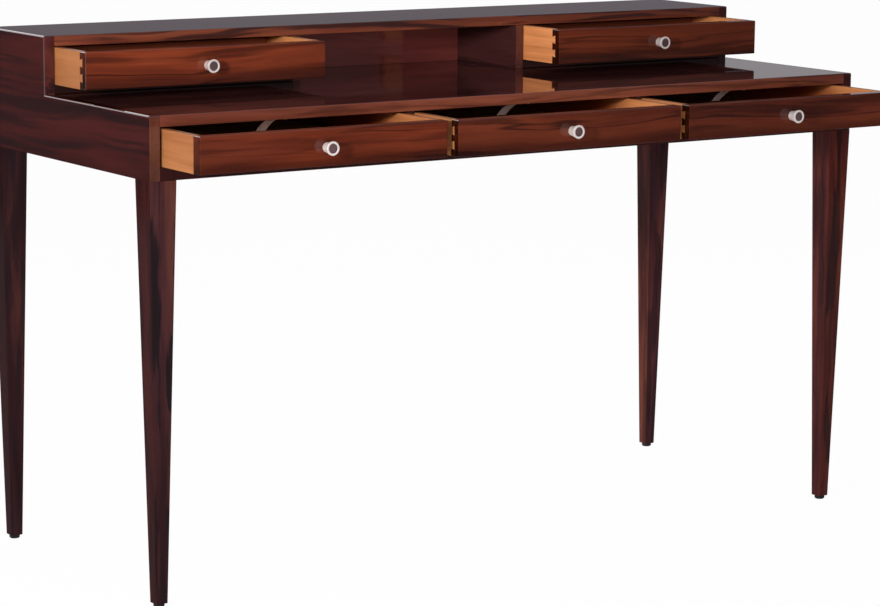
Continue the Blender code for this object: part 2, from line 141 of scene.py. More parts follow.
class ShaderSheet:
    """One material's node tree, with short calls that add and join its nodes."""

    facing_span: ClassVar[Span] = (0.6, 0.8)

    def __init__(self, name: str, kind: str = "ShaderNodeBsdfPrincipled") -> None:
        """Start a tree that holds one shader joined to the output.

        Args:
            name: the material's name.
            kind: the shader node's type.
        """
        self.material = bpy.data.materials.new(name)
        self.material.use_nodes = True
        self.tree = self.material.node_tree
        self.tree.nodes.clear()
        self.shader = self.add(kind)
        self.add("ShaderNodeOutputMaterial", {"Surface": self.shader.outputs[0]})
        coordinates = self.add("ShaderNodeTexCoord")
        self.where = coordinates.outputs["Object"]
        self.normal = coordinates.outputs["Normal"]

    def feed(self, target: Socket, value: object) -> None:
        """Link a socket to an input, or set a constant on it.

        Args:
            target: the input.
            value: an output socket or a constant.
        """
        if isinstance(value, Socket):
            self.tree.links.new(value, target)
        else:
            target.default_value = value

    def add(self, kind: str, feeds: dict[str | int, object] | None = None,
            **settings: str) -> bpy.types.Node:
        """Add a node and feed its inputs.

        Args:
            kind: the node's type.
            feeds: output sockets or constants, by the name or number of the input that each goes to.
            settings: choices on the node itself, such as its operation.

        Returns:
            The node.
        """
        node = self.tree.nodes.new(kind)
        for name, choice in settings.items():
            setattr(node, name, choice)
        for place, value in (feeds or {}).items():
            self.feed(node.inputs[place], value)
        return node

    def paint(self, **feeds: object) -> None:
        """Feed the shader's own inputs, with underscores for the spaces in their names."""
        for name, value in feeds.items():
            self.feed(self.shader.inputs[name.replace("_", " ")], value)

    def vector(self, operation: str, one: Socket, two: object) -> Socket:
        """Return one operation on a vector and a second vector, or on a vector and a factor for SCALE."""
        second = "Scale" if operation == "SCALE" else 1
        return self.add("ShaderNodeVectorMath", {0: one, second: two}, operation=operation).outputs[0]

    def maths(self, operation: str, one: object, two: object) -> Socket:
        """Return one operation on two factors."""
        return self.add("ShaderNodeMath", {0: one, 1: two}, operation=operation).outputs[0]

    def noise(self, source: Socket, pattern: Pattern, grain: Grain = Grain.ALONG_X,
              shift: Point = (0.0, 0.0, 0.0), output: str = "Fac") -> Socket:
        """Return a fractal noise, stretched along the grain.

        Args:
            source: the coordinates, in metres.
            pattern: the noise's scales, detail and roughness.
            grain: the way that the grain runs.
            shift: how far the pattern is shifted, in metres.
            output: Fac for a factor or Color for a colour.

        Returns:
            The noise.
        """
        shifted = self.vector("ADD", source, shift)
        scaled = self.vector("MULTIPLY", shifted, grain.stretch(pattern.along, pattern.across))
        feeds = {"Vector": scaled, "Scale": 1.0, "Detail": pattern.detail, "Roughness": pattern.roughness}
        return self.add("ShaderNodeTexNoise", feeds).outputs[output]

    def warped(self, source: Socket, pattern: Pattern, reach: float) -> Socket:
        """Return coordinates pushed about by a soft noise.

        Args:
            source: the coordinates.
            pattern: the noise.
            reach: about twice the furthest that a point is pushed, in metres.

        Returns:
            The warped coordinates.
        """
        swirl = self.noise(source, pattern, output="Color")
        centred = self.vector("SUBTRACT", swirl, (0.5, 0.5, 0.5))
        return self.vector("ADD", source, self.vector("SCALE", centred, reach))

    def axis(self, source: Socket, letter: str) -> Socket:
        """Return one axis of a vector, by its letter."""
        return self.add("ShaderNodeSeparateXYZ", {0: source}).outputs[letter]

    def span(self, factor: Socket, start: Span, end: Span = (0.0, 1.0)) -> Socket:
        """Return a factor smoothly carried from the start span to the end span."""
        feeds = dict(zip(("Value", "From Min", "From Max", "To Min", "To Max"), (factor, *start, *end)))
        return self.add("ShaderNodeMapRange", feeds, interpolation_type="SMOOTHSTEP").outputs["Result"]

    def facing(self, side: Side) -> Socket:
        """Return 1 on the faces that look to a side and 0 on the others."""
        letter, sign = side.value
        return self.span(self.maths("MULTIPLY", self.axis(self.normal, letter), sign), self.facing_span)

    def between(self, factor: Socket, low: float, high: float, soft: float) -> Socket:
        """Return 1 where a factor lies between low and high, with soft edges, and 0 elsewhere."""
        above = self.span(factor, (low - soft, low + soft))
        return self.maths("MULTIPLY", above, self.span(factor, (high - soft, high + soft), (1.0, 0.0)))

    def mean(self, one: Socket, two: Socket, share: float) -> Socket:
        """Return two factors added up, the first with its share and the second with the rest."""
        rest = self.maths("MULTIPLY", two, 1.0 - share)
        return self.maths("ADD", self.maths("MULTIPLY", one, share), rest)

    def ramp(self, factor: Socket, places: tuple[float, ...], colours: list[Colour]) -> Socket:
        """Return the colour that a factor picks.

        Args:
            factor: the factor.
            places: the factors at which the colours are reached.
            colours: a colour for each place.

        Returns:
            The colour.
        """
        node = self.add("ShaderNodeValToRGB", {"Fac": factor})
        points = node.color_ramp.elements
        while len(points) < len(places):
            points.new(0.5)
        for point, place, colour in zip(points, places, colours):
            point.position = place
            point.color = (*colour, 1.0)
        return node.outputs["Color"]

    def blend(self, kind: str, factor: Socket, one: object, two: object) -> Socket:
        """Return two colours mixed by a factor.

        Args:
            kind: the blend type, such as MIX or MULTIPLY.
            factor: the share of the second colour.
            one: the first colour, as a socket or a constant.
            two: the second colour, as a socket or a constant.

        Returns:
            The mixed colour.
        """
        node = self.add("ShaderNodeMix", {"Factor": factor}, data_type="RGBA", blend_type=kind)
        for name, value in (("A", one), ("B", two)):
            target = next(entry for entry in node.inputs if entry.name == name and entry.type == "RGBA")
            self.feed(target, value if isinstance(value, Socket) else (*value, 1.0))
        return next(entry for entry in node.outputs if entry.type == "RGBA")

    def bump(self, height: Socket, strength: float, distance: float) -> None:
        """Raise the surface by a share of a height pattern, whose full height is a distance in metres."""
        node = self.add("ShaderNodeBump", {"Strength": strength, "Distance": distance, "Height": height})
        self.paint(Normal=node.outputs["Normal"])


@dataclass(frozen=True)
class Zone:
    """The faces of a board that look to one side, between two heights, and the gain on their colour.

    Calm is the share of the veins and flames that is left out there.
    """

    side: Side
    gain: Colour
    low: float = -1.0
    high: float = 2.0
    soft: float = 0.0005
    calm: float = 0.0


@dataclass(frozen=True)
class Fade:
    """A painted shade towards a board's foot: a gain below the low height, and none above the high one."""

    low: float = -1.0
    high: float = -0.5
    gain: float = 1.0


@dataclass(frozen=True)
class Flames:
    """Black flames: their strength, their noise, and the noise's values where they set in and are full."""

    strength: float = 0.0
    pattern: Pattern = VEINS
    rim: Span = (0.56, 0.68)


@dataclass(frozen=True)
class Palette:
    """Five rosewood colours: the ink of veins and flames, three steps of the streaks, and dull patches."""

    ink: Colour
    deep: Colour
    middle: Colour
    light: Colour
    dull: Colour


RED_BROWN = Palette(
    ink=(0.010, 0.0030, 0.0026), deep=(0.056, 0.0102, 0.0050), middle=(0.098, 0.0178, 0.0080),
    light=(0.165, 0.0325, 0.0130), dull=(0.092, 0.0240, 0.0145))
ORANGE = Palette(
    ink=(0.010, 0.0030, 0.0024), deep=(0.052, 0.0088, 0.0036), middle=(0.100, 0.0170, 0.0062),
    light=(0.170, 0.0310, 0.0102), dull=(0.088, 0.0175, 0.0080))
PURPLE = Palette(
    ink=(0.0090, 0.0036, 0.0038), deep=(0.031, 0.0068, 0.0060), middle=(0.052, 0.0112, 0.0096),
    light=(0.084, 0.0185, 0.0155), dull=(0.054, 0.0140, 0.0130))
# Painted sheen: greyed colours that stand in for part of the polish's grey reflection.
DUSKY_SHEEN = Palette(
    ink=(0.0150, 0.0060, 0.0060), deep=(0.050, 0.0145, 0.0138), middle=(0.076, 0.0230, 0.0220),
    light=(0.108, 0.0350, 0.0320), dull=(0.078, 0.0250, 0.0240))
CRIMSON = Palette(
    ink=(0.0090, 0.0032, 0.0033), deep=(0.032, 0.0052, 0.0044), middle=(0.053, 0.0084, 0.0070),
    light=(0.086, 0.0140, 0.0114), dull=(0.055, 0.0106, 0.0096))
UMBER = Palette(
    ink=(0.0080, 0.0030, 0.0032), deep=(0.024, 0.0044, 0.0042), middle=(0.050, 0.0092, 0.0076),
    light=(0.112, 0.0235, 0.0130), dull=(0.060, 0.0135, 0.0135))
GREYED = Palette(
    ink=(0.050, 0.0300, 0.0320), deep=(0.075, 0.0430, 0.0450), middle=(0.105, 0.0600, 0.0630),
    light=(0.135, 0.0780, 0.0800), dull=(0.105, 0.0640, 0.0660))


@dataclass(frozen=True)
class Rosewood:
    """Dark reddish-brown rosewood under a clear polish, with streaks, veins and flames along the grain.

    Zones name faces with a tone of their own, such as a board's edges or a front's end grain, or with
    painted light and shade, such as a leg's faces. The fade is a painted shade towards the board's foot.
    """

    name: str
    grain: Grain
    shift: Point
    tone: float = 1.0
    palette: Palette = RED_BROWN
    veins: float = 0.65
    flames: Flames = Flames()
    zones: tuple[Zone, ...] = ()
    fade: Fade = Fade()
    streaks: Pattern = BROAD_STREAKS

    wave_reach: ClassVar[float] = 0.045
    streak_share: ClassVar[float] = 0.80
    streak_places: ClassVar[tuple[float, ...]] = (0.36, 0.49, 0.64)
    patch_span: ClassVar[Span] = (0.46, 0.68)
    patch_strength: ClassVar[float] = 0.6
    vein_level: ClassVar[float] = 0.54
    vein_width: ClassVar[float] = 0.036
    break_span: ClassVar[Span] = (0.42, 0.62)
    gloss: ClassVar[Span] = (0.34, 0.46)

    def figure(self, sheet: ShaderSheet, waved: Socket, pattern: Pattern) -> Socket:
        """Return a noise along this board's grain, shifted by its own shift."""
        return sheet.noise(waved, pattern, self.grain, self.shift)

    def ground(self, sheet: ShaderSheet, waved: Socket, pores: Socket) -> Socket:
        """Return the wood's colour without its dark lines: streaks with dull patches.

        Args:
            sheet: the material's sheet.
            waved: the warped coordinates.
            pores: the noise of the fine pores.

        Returns:
            The colour.
        """
        hues = self.palette
        streaks = sheet.mean(self.figure(sheet, waved, self.streaks), pores, self.streak_share)
        tones = [toned(hue, self.tone) for hue in (hues.deep, hues.middle, hues.light)]
        colour = sheet.ramp(streaks, self.streak_places, tones)
        patches = self.figure(sheet, waved, PATCHES)
        dullness = sheet.span(patches, self.patch_span, (0.0, self.patch_strength))
        return sheet.blend("MIX", dullness, colour, toned(hues.dull, self.tone))

    def dark_lines(self, sheet: ShaderSheet, waved: Socket) -> Socket:
        """Return how dark the veins and flames are: broken thin veins, and flames wherever they are darker.

        Args:
            sheet: the material's sheet.
            waved: the warped coordinates.

        Returns:
            The darkness as a factor.
        """
        level = sheet.maths("SUBTRACT", self.figure(sheet, waved, VEINS), self.vein_level)
        line = sheet.span(sheet.maths("ABSOLUTE", level, 0.0), (0.0, self.vein_width), (self.veins, 0.0))
        breaks = sheet.span(self.figure(sheet, waved, VEIN_BREAKS), self.break_span)
        flames = self.figure(sheet, waved, self.flames.pattern)
        flames = sheet.span(flames, self.flames.rim, (0.0, self.flames.strength))
        return sheet.maths("MAXIMUM", sheet.maths("MULTIPLY", line, breaks), flames)

    def spot(self, sheet: ShaderSheet, zone: Zone) -> Socket:
        """Return 1 on a zone's faces and 0 elsewhere."""
        height = sheet.between(sheet.axis(sheet.where, "Z"), zone.low, zone.high, zone.soft)
        return sheet.maths("MULTIPLY", sheet.facing(zone.side), height)

    def material(self) -> bpy.types.Material:
        """Build the finish: streaks pick the colour, dark lines cross it, and a polish shines over it.

        Returns:
            The material.
        """
        sheet = ShaderSheet(self.name)
        waved = sheet.warped(sheet.where, WAVES, self.wave_reach)
        pores = self.figure(sheet, waved, PORES)
        dark = self.dark_lines(sheet, waved)
        spots = [self.spot(sheet, zone) for zone in self.zones]
        for zone, spot in zip(self.zones, spots):
            dark = sheet.maths("MULTIPLY", dark, sheet.span(spot, (0.0, 1.0), (1.0, 1.0 - zone.calm)))
        colour = sheet.blend("MIX", dark, self.ground(sheet, waved, pores), self.palette.ink)
        # Painted shade: the colour darkens towards the board's foot.
        foot = sheet.span(sheet.axis(waved, "Z"), (self.fade.low, self.fade.high), (1.0, 0.0))
        colour = sheet.blend("MULTIPLY", foot, colour, (self.fade.gain,) * 3)
        for zone, spot in zip(self.zones, spots):
            colour = sheet.blend("MULTIPLY", spot, colour, zone.gain)
        sheet.paint(Base_Color=colour, Roughness=sheet.span(pores, NOISE_SPAN, self.gloss))
        sheet.paint(Specular_IOR_Level=0.0, Coat_Weight=1.0, Coat_Roughness=0.03, Coat_IOR=1.5)
        return sheet.material


@dataclass(frozen=True)
class PaleTimber:
    """Pale orange-tan drawer timber, thinly sealed, with soft darker grain.

    The shade is painted shade: a gain on its colour that grows from one depth along Y to another,
    darkening the timber deep inside a drawer, where shade falls.
    """

    name: str
    grain: Grain
    shift: Point
    tone: float = 1.0
    deep: Colour = (0.40, 0.135, 0.046)
    pale: Colour = (0.60, 0.235, 0.084)
    shade: Colour = (1.0, 1.0, 1.0)
    shade_span: Span = (0.0, 1.0)

    wave_reach: ClassVar[float] = 0.012
    streak_share: ClassVar[float] = 0.65
    streak_places: ClassVar[Span] = (0.30, 0.62)
    gloss: ClassVar[Span] = (0.42, 0.55)
    pore_strength: ClassVar[float] = 0.15
    pore_depth: ClassVar[float] = 0.0004

    def material(self) -> bpy.types.Material:
        """Build the finish: soft streaks over a pale ground, with fine pores along the grain.

        Returns:
            The material.
        """
        sheet = ShaderSheet(self.name)
        waved = sheet.warped(sheet.where, TIMBER_WAVES, self.wave_reach)
        streaks = sheet.noise(waved, TIMBER_STREAKS, self.grain, self.shift)
        pores = sheet.noise(waved, TIMBER_PORES, self.grain, self.shift)
        tones = [toned(hue, self.tone) for hue in (self.deep, self.pale)]
        colour = sheet.ramp(sheet.mean(streaks, pores, self.streak_share), self.streak_places, tones)
        # Painted shade: the colour darkens along Y, deeper inside the drawer.
        painted_shade_share = sheet.span(sheet.axis(sheet.where, "Y"), self.shade_span)
        colour = sheet.blend("MULTIPLY", painted_shade_share, colour, self.shade)
        gloss = sheet.span(pores, NOISE_SPAN, self.gloss)
        sheet.paint(Base_Color=colour, Roughness=gloss, Specular_IOR_Level=0.35)
        sheet.bump(pores, self.pore_strength, self.pore_depth)
        return sheet.material


@dataclass(frozen=True)
class Metal:
    """Plated metal with fine turning marks and a little tarnish."""

    name: str
    base: Colour
    tarnish: Colour
    gloss: Span
    metallic: float

    tarnish_span: ClassVar[Span] = (0.45, 0.75)
    mark_strength: ClassVar[float] = 0.06
    mark_depth: ClassVar[float] = 0.0002

    def material(self) -> bpy.types.Material:
        """Build the finish: a tarnish that clouds the plate, and fine marks that vary its gloss.

        Returns:
            The material.
        """
        sheet = ShaderSheet(self.name)
        tarnished = sheet.span(sheet.noise(sheet.where, TARNISH), self.tarnish_span)
        marks = sheet.noise(sheet.where, TURNING_MARKS, Grain.ALONG_Y)
        colour = sheet.blend("MIX", tarnished, self.base, self.tarnish)
        gloss = sheet.span(marks, NOISE_SPAN, self.gloss)
        sheet.paint(Base_Color=colour, Roughness=gloss, Metallic=self.metallic)
        sheet.bump(marks, self.mark_strength, self.mark_depth)
        return sheet.material


@dataclass(frozen=True)
class Coating:
    """Nylon or lacquer with an even ground and cloudy scuffs."""

    name: str
    base: Colour
    scuff: Colour

    scuff_span: ClassVar[Span] = (0.52, 0.72)
    gloss: ClassVar[Span] = (0.42, 0.62)
    scuff_strength: ClassVar[float] = 0.1
    scuff_depth: ClassVar[float] = 0.0003

    def material(self) -> bpy.types.Material:
        """Build the finish: an even ground with scuffs that change its colour, gloss and height.

        Returns:
            The material.
        """
        sheet = ShaderSheet(self.name)
        scuffs = sheet.noise(sheet.where, SCUFFS)
        colour = sheet.blend("MIX", sheet.span(scuffs, self.scuff_span), self.base, self.scuff)
        sheet.paint(Base_Color=colour, Roughness=sheet.span(scuffs, NOISE_SPAN, self.gloss))
        sheet.bump(scuffs, self.scuff_strength, self.scuff_depth)
        return sheet.material


@dataclass(frozen=True)
class SharedFinishes:
    """The finishes that several pieces share."""

    backs: bpy.types.Material
    bottoms: bpy.types.Material
    nickel: bpy.types.Material
    disc: bpy.types.Material
    lacquer: bpy.types.Material
    nylon: bpy.types.Material

    @classmethod
    def mixed(cls) -> SharedFinishes:
        """Mix each shared finish once.

        Returns:
            The finishes.
        """
        # Painted shade: the drawer backs are dark brown for the shade inside the drawers.
        backs = PaleTimber("painted_shade_backs", Grain.ALONG_X, (0.2, 0.6, 0.1),
                           deep=(0.14, 0.030, 0.012), pale=(0.21, 0.048, 0.020))
        bottoms = PaleTimber("brown_bottoms", Grain.ALONG_X, (0.7, 0.2, 0.5), tone=0.8,
                             deep=(0.40, 0.16, 0.060), pale=(0.60, 0.27, 0.110))
        nickel = Metal("nickel_plate", base=(0.97, 0.88, 0.85), tarnish=(0.88, 0.78, 0.75),
                       gloss=(0.272, 0.425), metallic=0.35)
        disc = Rosewood("rosewood_disc", Grain.ALONG_X, (0.3, 0.1, 0.2), palette=GREYED)
        lacquer = Coating("pale_lacquer", base=(0.98, 0.86, 0.88), scuff=(0.88, 0.74, 0.76))
        nylon = Coating("black_nylon", base=(0.016, 0.015, 0.015), scuff=(0.075, 0.070, 0.066))
        return cls(*(finish.material() for finish in (backs, bottoms, nickel, disc, lacquer, nylon)))


def linked(name: str, mesh: bpy.types.Mesh) -> bpy.types.Object:
    """Make an object at the origin from a mesh and link it to the scene.

    Args:
        name: the object's name.
        mesh: its mesh.

    Returns:
        The new object.
    """
    made = bpy.data.objects.new(name, mesh)
    bpy.context.scene.collection.objects.link(made)
    return made


def closed_mesh(name: str, points: np.ndarray, faces: list[np.ndarray]) -> bpy.types.Object:
    """Make an object from points and arrays of faces, turned to face outwards.

    The faces are turned if the sum of a . (b x c) over their triangles, six times the volume, is negative.

    Args:
        name: the piece's name.
        points: an array of corners in metres.
        faces: arrays of corner numbers, one array for each number of sides.

    Returns:
        The new object, linked to the scene.
    """
    fans = [np.stack([block[:, 0], block[:, k], block[:, k + 1]], 1)
            for block in faces for k in range(1, block.shape[1] - 1)]
    a, b, c = (points[np.concatenate(fans)[:, k]] for k in range(3))
    inside_out = np.einsum("ij,ij->i", a, np.cross(b, c)).sum() < 0
    listed = [face for block in faces for face in (block[:, ::-1] if inside_out else block).tolist()]
    mesh = bpy.data.meshes.new(name)
    mesh.from_pydata(points.tolist(), [], listed)
    mesh.validate()
    mesh.shade_smooth()
    mesh.set_sharp_from_angle(angle=SHARP_ANGLE)
    return linked(name, mesh)


def ring_quads(rings: int, count: int) -> np.ndarray:
    """Join rings of points, each to the next, with four-sided faces.

    Args:
        rings: how many rings there are.
        count: how many points each ring has.

    Returns:
        Rows of four corner numbers.
    """
    step = np.arange(count)
    after = (step + 1) % count
    row = np.arange(rings - 1)[:, None] * count
    return np.stack([row + step, row + after, row + count + after, row + count + step], -1).reshape(-1, 4)


def turned(name: str, profile: np.ndarray, sides: int, origin: Vector, axis: Vector) -> bpy.types.Object:
    """Turn a profile about an axis.

    Formula: a profile point (r, a) at turn t lands at origin + a * axis + r * (cos t * u + sin t * v),
    where u and v are square to the axis. The first and last points lie on the axis and become poles.

    Args:
        name: the piece's name.
        profile: rows of (radius, distance along the axis) in metres.
        sides: how many flats go round.
        origin: where the axis starts.
        axis: the way that the profile's second value runs.

    Returns:
        The turned object.
    """
    along = np.array(axis.normalized())
    u = np.array(axis.orthogonal().normalized())
    v = np.cross(along, u)
    t = np.linspace(0.0, 2 * np.pi, sides, endpoint=False)
    circle = np.cos(t)[:, None] * u + np.sin(t)[:, None] * v
    body = profile[1:-1]
    rings = np.array(origin) + body[:, 1, None, None] * along + body[:, 0, None, None] * circle[None]
    poles = np.array(origin) + profile[[0, -1], 1, None] * along
    points = np.concatenate([rings.reshape(-1, 3), poles])
    step = np.arange(sides)
    after = (step + 1) % sides
    first, last = len(points) - 2, len(points) - 1
    top = (len(body) - 1) * sides
    caps = np.concatenate([np.stack([np.full(sides, first), after, step], 1),
                           np.stack([np.full(sides, last), top + step, top + after], 1)])
    return closed_mesh(name, points, [ring_quads(len(body), sides), caps])


def swept(name: str, path: np.ndarray, normal: np.ndarray, side: Vector,
          section: np.ndarray) -> bpy.types.Object:
    """Carry a closed section along a path and close its ends.

    Formula: section point (w, h) at path point p with normal n lands at p + w * side + h * n.

    Args:
        name: the piece's name.
        path: rows of points in metres.
        normal: the unit normal at each path point.
        side: the section's first direction, the same all along.
        section: rows of (w, h) round the section.

    Returns:
        The swept object.
    """
    across = np.array(side)
    raised = section[None, :, 1, None] * normal[:, None]
    points = path[:, None] + section[None, :, 0, None] * across + raised
    count = len(section)
    step = np.arange(count)
    ends = np.stack([step[::-1], (len(path) - 1) * count + step])
    return closed_mesh(name, points.reshape(-1, 3), [ring_quads(len(path), count), ends])


def rounded_section(width: float, height: float, radius: float, steps: int) -> np.ndarray:
    """Return a rounded rectangle's outline.

    Formula: at each corner a quarter circle, corner + radius * (cos t, sin t), about a centre that lies
    the radius inside both sides.

    Args:
        width: the rectangle's width.
        height: its height.
        radius: the radius of its corners.
        steps: how many points go round each corner.

    Returns:
        Rows of (w, h).
    """
    turn = np.linspace(0.0, np.pi / 2, steps)[None] + (np.pi / 2 * np.arange(4))[:, None]
    signs = np.array([[1, 1], [-1, 1], [-1, -1], [1, -1]])
    corners = signs * (np.array([width, height]) / 2 - radius)
    ring = corners[:, None] + radius * np.stack([np.cos(turn), np.sin(turn)], -1)
    return ring.reshape(-1, 2)


def dress(nodes: list[str], finish: bpy.types.Material) -> None:
    """Give CAD nodes a finish in all their material slots.

    Args:
        nodes: the nodes' names.
        finish: their material.
    """
    for node in nodes:
        mesh = bpy.data.objects[node].data
        mesh.materials.clear()
        mesh.materials.append(finish)
        log.info("dressed %s with %s", node, finish.name)


@dataclass
class Carcass:
    """The desk's fixed boards: top, ends, case and gallery."""

    top_flames: Flames = Flames(0.5, Pattern(7.0, 70.0), (0.50, 0.68))
    gallery_flames: Flames = Flames(0.85, Pattern(2.5, 110.0), (0.48, 0.62))
    end_flames: Flames = Flames(0.75, Pattern(1.4, 44.0), (0.51, 0.66))
    edge_gain: Colour = (2.35, 1.95, 1.15)
    gallery_edge_gain: Colour = (3.2, 4.1, 4.8)
    stile_gain: Colour = (2.1, 4.3, 3.3)
    stile_top_gain: Colour = (2.3, 3.7, 2.7)
    stile_calm: float = 0.85
    upper_stile_gain: Colour = (1.6, 2.1, 2.4)
    right_stile_gain: Colour = (1.0, 1.2, 1.2)
    divider_edge_gain: Colour = (1.7, 1.6, 1.3)
    gallery_rear_gain: Colour = (0.25, 0.25, 0.25)
    edge_margin: float = 0.001

    def dress_tops(self) -> None:
        """Give the two polished tops their rosewood, with lighter front edges."""
        top = Rosewood("rosewood_writing_top", Grain.ALONG_X, shift=(0.3, 0.7, 0.12), tone=1.15,
                       palette=DUSKY_SHEEN, flames=self.top_flames, zones=(Zone(Side.FRONT, self.edge_gain),))
        gallery = Rosewood("rosewood_gallery_top", Grain.ALONG_X, shift=(1.1, 0.33, 0.54), tone=0.55,
                           veins=0.9, flames=self.gallery_flames,
                           zones=(Zone(Side.FRONT, self.gallery_edge_gain),))
        dress(["desk_top"], top.material())
        dress(["gallery_top"], gallery.material())

    def dress_ends(self) -> None:
        """Give the end boards their rosewood, with three zones on the left one's front edge."""
        low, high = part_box("desk_top")
        face = high.z + self.edge_margin
        left_zones = (Zone(Side.FRONT, self.stile_gain, high=low.z, calm=self.stile_calm),
                      Zone(Side.FRONT, self.stile_top_gain, low.z, face, calm=self.stile_calm),
                      Zone(Side.FRONT, self.upper_stile_gain, low=face))
        right_zones = (Zone(Side.FRONT, self.right_stile_gain),)
        for side, shift, zones in (("left", (0.0, 0.2, 0.35), left_zones),
                                   ("right", (0.0, 0.5, 0.15), right_zones)):
            board = Rosewood(f"rosewood_{side}_end", Grain.ALONG_Y, shift, tone=0.70, palette=CRIMSON,
                             veins=0.8, flames=self.end_flames, zones=zones)
            dress([f"{side}_end_panel"], board.material())

    def dress_case(self) -> None:
        """Give the boards round the lower drawers their rosewood, and the guides their pale timber."""
        # Painted shade: the case boards are darkened for the shade round the lower drawers.
        case = Rosewood("rosewood_case", Grain.ALONG_X, shift=(0.9, 0.11, 0.21), tone=0.60, palette=PURPLE)
        guides = PaleTimber("pale_guides", Grain.ALONG_Y, shift=(0.1, 0.3, 0.2))
        dress(["case_bottom", "back_apron", "left_partition", "right_partition"], case.material())
        dress(["left_side_guide", "right_side_guide"], guides.material())

    def dress_gallery(self) -> None:
        """Give the gallery's back, floors and dividers their rosewood."""
        # Painted light: the back's tone is raised so its front face, in the gallery's shade, looks lit; the
        # rear gain brings its back face down again.
        back = Rosewood("rosewood_gallery_back", Grain.ALONG_X, shift=(0.2, 0.41, 0.63), tone=3.5,
                        palette=PURPLE, zones=(Zone(Side.BACK, self.gallery_rear_gain),))
        # Painted shadow: the floors are darkened for the shade under the upper drawers.
        floors = Rosewood("rosewood_gallery_floors", Grain.ALONG_X, shift=(0.6, 0.21, 0.43), tone=0.25)
        dividers = Rosewood("rosewood_dividers", Grain.ALONG_Y, shift=(0.15, 0.52, 0.27), tone=0.8,
                            palette=DUSKY_SHEEN, zones=(Zone(Side.FRONT, self.divider_edge_gain),))
        dress(["gallery_back"], back.material())
        dress(["gallery_left_floor", "gallery_right_floor"], floors.material())
        dress(["gallery_left_divider", "gallery_right_divider"], dividers.material())

    def dress(self) -> None:
        """Give each board its finish, with the grain along its length."""
        self.dress_tops()
        self.dress_ends()
        self.dress_case()
        self.dress_gallery()


@dataclass(frozen=True)
class LegTone:
    """One leg's tone: its brightness, its flames' strength, and gains on its front and left faces that
    paint light and shade on them.
    """

    corner: str
    tone: float
    flames: float
    front_gain: Colour
    left_gain: Colour


@dataclass
class Legs:
    """The four tapered legs and the glides under them."""

    tones: tuple[LegTone, ...] = (
        LegTone("front_left", 0.80, 0.95, (1.05, 1.48, 1.78), (0.70, 0.48, 0.43)),
        LegTone("front_right", 1.20, 0.75, (1.35, 1.30, 1.09), (1.18, 1.26, 1.34)),
        LegTone("back_left", 0.53, 0.60, (0.95, 1.28, 1.78), (0.68, 0.35, 0.30)),
        LegTone("back_right", 2.10, 0.60, (0.56, 0.66, 0.98), (1.05, 1.38, 1.20)))
    shift_step: Point = (0.17, 0.23, 0.6)
    flame_pattern: Pattern = Pattern(5.0, 52.0)
    flame_rim: Span = (0.50, 0.59)
    left_calm: float = 0.4

    def dress(self, finishes: SharedFinishes) -> None:
        """Give the legs upright grain with dark flames, calmer on their left faces, and the glides nylon.

        Args:
            finishes: the shared finishes.
        """
        for count, leg in enumerate(self.tones):
            shift = tuple(step * count for step in self.shift_step)
            flames = Flames(leg.flames, self.flame_pattern, self.flame_rim)
            # Painted light and shade: each face of the leg gets its own gain.
            zones = (Zone(Side.FRONT, leg.front_gain), Zone(Side.LEFT, leg.left_gain, calm=self.left_calm))
            wood = Rosewood(f"rosewood_{leg.corner}_leg", Grain.ALONG_Z, shift, leg.tone, UMBER, veins=0.8,
                            flames=flames, zones=zones, streaks=LEG_STREAKS)
            dress([f"{leg.corner}_leg"], wood.material())
        dress([f"{leg.corner}_glide" for leg in self.tones], finishes.nylon)


